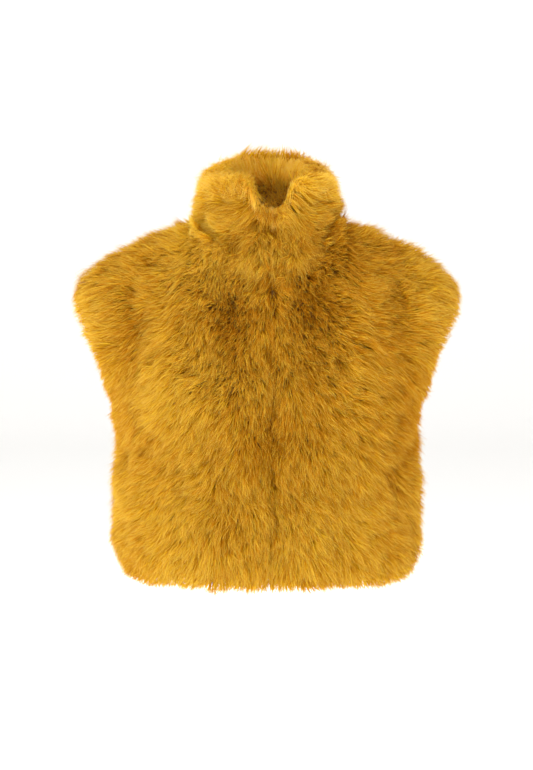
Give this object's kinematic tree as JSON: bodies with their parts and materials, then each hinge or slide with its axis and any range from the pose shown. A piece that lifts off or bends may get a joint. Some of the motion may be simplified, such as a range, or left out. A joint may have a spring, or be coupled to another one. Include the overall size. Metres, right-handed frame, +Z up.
{
  "type": "faux fur vest",
  "caption": "Cropped, boxy faux fur vest with a fur-lined funnel collar, wide shoulders and a closed front, filled out as worn.",
  "frame": {"origin": "between the shoulders at the level of the neck, where the wearer's shoulders hold the vest up", "axes": "+Z up, -Y towards the front of the vest, +X towards the wearer's left"},
  "size_m": [0.5844, 0.3145, 0.643],
  "materials": {
    "front_left_fur": "long mustard pile, soft sheen",
    "front_right_fur": "long mustard pile, soft sheen",
    "back_fur": "long mustard pile, soft sheen",
    "collar_fur": "long mustard pile, soft sheen",
    "collar_facing_fur": "long mustard pile, soft sheen"
  },
  "bodies": {
    "root": {"front_left": "front_left_fur", "front_right": "front_right_fur", "back": "back_fur", "collar": "collar_fur", "collar_facing": "collar_facing_fur"}
  },
  "joints": []
}
